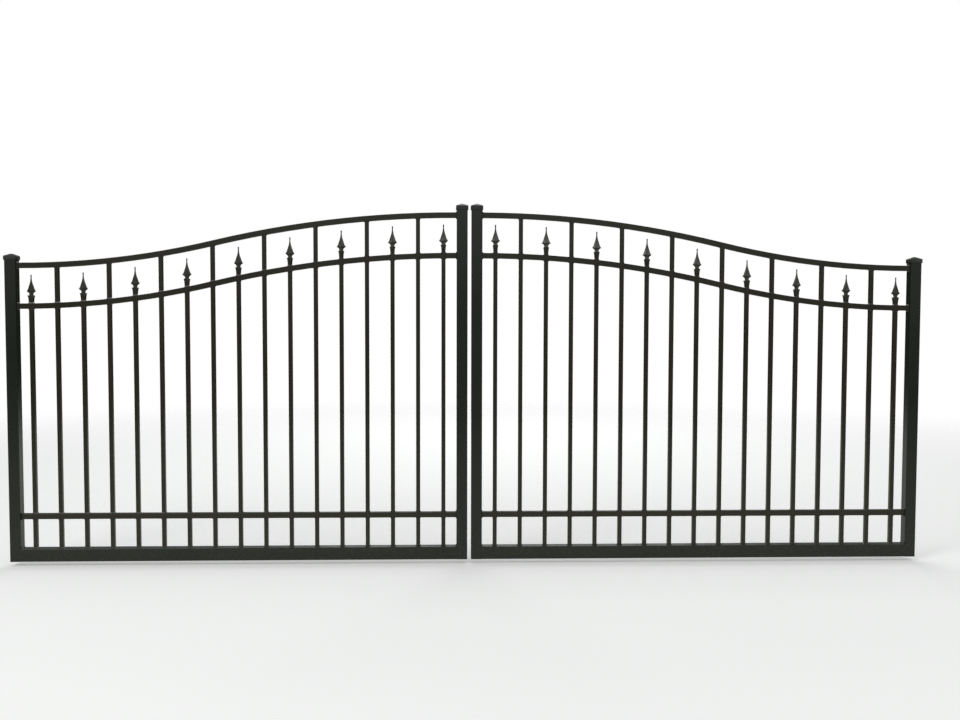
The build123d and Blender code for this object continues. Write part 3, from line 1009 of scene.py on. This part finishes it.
foot_aside = BARREL_RADIUS - FOOT_WIDTH / 2    # a foot is level with one side of the barrel
plate_width = size("left_hinge_brackets").y / MM
print("hinge heights:", HINGE_HEIGHTS, "plate width:", round(plate_width, 1))


def rounded(half, radius, chamfer):
    """The profile of a disc or barrel with chamfered rims, from -half to half in height."""
    small = radius - chamfer
    return (-half, small), (-half + chamfer, radius), (half - chamfer, radius), (half, small)


def bore_out(piece, radius, reach):
    """Bore a hole down the middle of a turned part."""
    cutter = turned("bore", BARREL_SIDES, ((-reach, radius), (reach, radius)))
    combine(piece, cutter, "DIFFERENCE")


def knuckle(length, foot_widths, foot_middle):
    """An eye on the pin's axis with a flat foot to one side, centred in height."""
    eye = turned("eye", BARREL_SIDES, rounded(length / 2, BARREL_RADIUS, BARREL_CHAMFER))
    foot = block("foot", (*foot_widths, length - FOOT_SHORT), (*foot_middle, 0))
    combine(eye, foot, "UNION")
    bore_out(eye, BORE_RADIUS, length)
    return eye


def drill(x, y, z):
    """A bolt's cutter through a plate, along X."""
    cutter = turned("drill", PIN_SIDES, ((-DRILL_REACH, BOLT_RADIUS), (DRILL_REACH, BOLT_RADIUS)))
    cutter.data.transform(Matrix.Translation(Vector((x, y, z)) * MM) @ ALONG_X)
    return cutter


for side, outwards in (("left", -1), ("right", 1)):
    axis = middle(f"{side}_hinge_pins")
    plate_low, plate_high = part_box(f"{side}_hinge_brackets")
    brackets, leaf_knuckles = [], []
    post_face = (plate_low.x if outwards < 0 else plate_high.x) / MM
    plate_x = post_face - outwards * PLATE_THICKNESS / 2
    plate_y = (plate_low.y + plate_high.y) / 2 / MM
    bolt_y = mounts[0]["pos_m"][1] / MM
    for hinge_z in HINGE_HEIGHTS:
        here = Matrix.Translation((axis.x, axis.y, hinge_z * MM))
        plate_size = (PLATE_THICKNESS, plate_width, PLATE_HEIGHT)
        plate = block("plate", plate_size, (plate_x, plate_y, hinge_z))
        open_mesh(plate)
        pick("EDGE", lambda place, along: abs(along.x) > STRAIGHT)
        bpy.ops.mesh.bevel(offset=PLATE_CORNER * MM, segments=5, affect="EDGES")
        let_go()
        for hole_y in (bolt_y - BOLT_SPACING_Y / 2, bolt_y + BOLT_SPACING_Y / 2):
            for hole_z in (hinge_z - BOLT_SPACING_Z / 2, hinge_z + BOLT_SPACING_Z / 2):
                combine(plate, drill(plate_x, hole_y, hole_z), "DIFFERENCE")
        for way in (-1, 1):
            eye = knuckle(FIXED_KNUCKLE, (FOOT_REACH, FOOT_WIDTH), (outwards * FOOT_REACH / 2, foot_aside))
            lift = way * (BARREL_HALF - FIXED_KNUCKLE / 2)
            eye.data.transform(here @ Matrix.Translation((0, 0, lift * MM)))
            combine(plate, eye, "UNION")
        soften(plate, HINGE_ROUNDING)
        brackets.append(plate)
        eye = knuckle(LEAF_KNUCKLE, (FOOT_WIDTH, FOOT_REACH), (-outwards * foot_aside, -FOOT_REACH / 2))
        eye.data.transform(here)
        soften(eye, HINGE_ROUNDING)
        leaf_knuckles.append(eye)
    fixed, moving = merge_pieces(brackets), merge_pieces(leaf_knuckles)
    hand_over(fixed, f"{side}_bolt_on_brackets", "post_hinges", hinge_paint, "hinge_steel",
              f"{side}_hinge_brackets")
    hand_over(moving, f"{side}_welded_knuckles", f"{side}_leaf", hinge_paint, "hinge_steel",
              f"{side}_hinge_knuckles")

# %% [markdown]
# ## Pins, washers and clips
#
# These are the only bare metal on the gate: a zinc-plated pin with a head and a groove, two brass
# washers that the leaf turns on, and a spring clip in the groove.  Each could be spun from a drawn
# curve, but a stack gives the same round part in one step, and closed at both ends.  It is made
# once, bored where it needs a hole, and copied to every hinge.

# %% Pins, washers and clips
PIN_TAIL = 8.0            # below the lower knuckle
PIN_CHAMFER = 1.0
GROOVE_DEPTH = 1.0
HEAD_RADIUS = 8.0
HEAD_HEIGHT = 5.0
HEAD_FOOT = 0.3           # small chamfer under the head
WASHER_CHAMFER = 0.25
CLIP_RADIUS = 7.5
CLIP_THICKNESS = 1.2
CLIP_MOUTH = 7.0
CLIP_GAP = 0.1
BORE_GAP = 0.1            # round the pin, in a washer or a clip
CUTTER_REACH = 9.0
groove_top = -BARREL_HALF
groove_bottom = groove_top - CLIP_THICKNESS - 2 * CLIP_GAP

pin_model = turned("pin_model", PIN_SIDES, (
    (-BARREL_HALF - PIN_TAIL, PIN_RADIUS - PIN_CHAMFER),
    (-BARREL_HALF - PIN_TAIL + PIN_CHAMFER, PIN_RADIUS),
    (groove_bottom, PIN_RADIUS),
    (groove_bottom, PIN_RADIUS - GROOVE_DEPTH),
    (groove_top, PIN_RADIUS - GROOVE_DEPTH),
    (groove_top, PIN_RADIUS),
    (BARREL_HALF, PIN_RADIUS),
    (BARREL_HALF, HEAD_RADIUS - HEAD_FOOT),
    (BARREL_HALF + HEAD_FOOT, HEAD_RADIUS),
    (BARREL_HALF + HEAD_HEIGHT - PIN_CHAMFER, HEAD_RADIUS),
    (BARREL_HALF + HEAD_HEIGHT, HEAD_RADIUS - PIN_CHAMFER),
))
soften(pin_model, 0.2, segments=2, sharper_than=40)

washer_profile = rounded(WASHER_THICKNESS / 2, BARREL_RADIUS, WASHER_CHAMFER)
washer_model = turned("washer_model", BARREL_SIDES, washer_profile)
bore_out(washer_model, PIN_RADIUS + BORE_GAP, CUTTER_REACH)
soften(washer_model, 0.1, segments=1, sharper_than=40)

clip_half = CLIP_THICKNESS / 2
clip_model = turned("clip_model", BARREL_SIDES, ((-clip_half, CLIP_RADIUS), (clip_half, CLIP_RADIUS)))
bore_out(clip_model, PIN_RADIUS - GROOVE_DEPTH + BORE_GAP, CUTTER_REACH)
mouth = block("mouth", (CLIP_MOUTH, 2 * CLIP_RADIUS, CUTTER_REACH), (0, CLIP_RADIUS, 0))
combine(clip_model, mouth, "DIFFERENCE")
soften(clip_model, 0.2, segments=2, sharper_than=40)

for side in SIDES:
    axis = middle(f"{side}_hinge_pins")
    pin_places, washer_places, clip_places = [], [], []
    for hinge_z in HINGE_HEIGHTS:
        pin_places.append(Matrix.Translation((axis.x, axis.y, hinge_z * MM)))
        for way in (-1, 1):
            lift = way * (LEAF_KNUCKLE / 2 + WASHER_GAP + WASHER_THICKNESS / 2)
            washer_places.append(Matrix.Translation((axis.x, axis.y, (hinge_z + lift) * MM)))
        lift = groove_top - CLIP_GAP - CLIP_THICKNESS / 2
        clip_places.append(Matrix.Translation((axis.x, axis.y, (hinge_z + lift) * MM)))
    pins = copy_to(pin_model, pin_places)
    washers = copy_to(washer_model, washer_places)
    clips = copy_to(clip_model, clip_places)
    hand_over(pins, f"{side}_headed_pins", "post_hinges", zinc, "zinc_pin", f"{side}_hinge_pins")
    hand_over(washers, f"{side}_brass_rings", "post_hinges", brass, "brass_washer", f"{side}_thrust_washers")
    hand_over(clips, f"{side}_spring_clips", "post_hinges", spring_steel, "spring_clip", f"{side}_pin_clips")
for model in (pin_model, washer_model, clip_model):
    bpy.data.objects.remove(model)

# %% [markdown]
# ## Welds on the hinges
#
# The same rippled bead holds the knuckles: one down each leaf knuckle's foot, on the stile, and one
# down each fixed knuckle's foot, on the plate.  A bead rides with the knuckle that it holds, so
# none is stretched when the gate swings.

# %% Beads on the hinges
HINGE_BEAD = 2.6
HINGE_BEAD_SHORT = 3.0    # how much shorter a bead is than its knuckle
HINGE_BEAD_OUT = 0.5      # from the corner of the foot to the bead's middle

leaf_bead = bead(LEAF_KNUCKLE - HINGE_BEAD_SHORT, HINGE_BEAD)
fixed_bead = bead(FIXED_KNUCKLE - HINGE_BEAD_SHORT, HINGE_BEAD)
for side, outwards in (("left", -1), ("right", 1)):
    axis = middle(f"{side}_hinge_pins")
    beside = (BARREL_RADIUS + HINGE_BEAD_OUT) * MM
    along = (FOOT_REACH - HINGE_BEAD_OUT) * MM
    on_leaf, on_plate = [], []
    for hinge_z in HINGE_HEIGHTS:
        z = hinge_z * MM
        on_leaf.append(lay(axis.x - outwards * beside, axis.y - along, z, ALONG_Z))
        for way in (-1, 1):
            lift = way * (BARREL_HALF - FIXED_KNUCKLE / 2) * MM
            on_plate.append(lay(axis.x + outwards * along, axis.y + beside, z + lift, ALONG_Z))
    moving, fixed = copy_to(leaf_bead, on_leaf), copy_to(fixed_bead, on_plate)
    hand_over(moving, f"{side}_knuckle_welds", f"{side}_leaf", weld_paint, "powder_coat")
    hand_over(fixed, f"{side}_bracket_welds", "post_hinges", weld_paint, "hinge_steel")
for model in (leaf_bead, fixed_bead):
    bpy.data.objects.remove(model)

# %% [markdown]
# ## Ready to finish
#
# Detail added by hand must not make the gate bigger.  The box of the shown object is written
# beside the CAD box, so that the two can be compared.

# %% Sizes, and finish
low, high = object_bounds()
print("shown box:", [round(v, 4) for v in high - low])
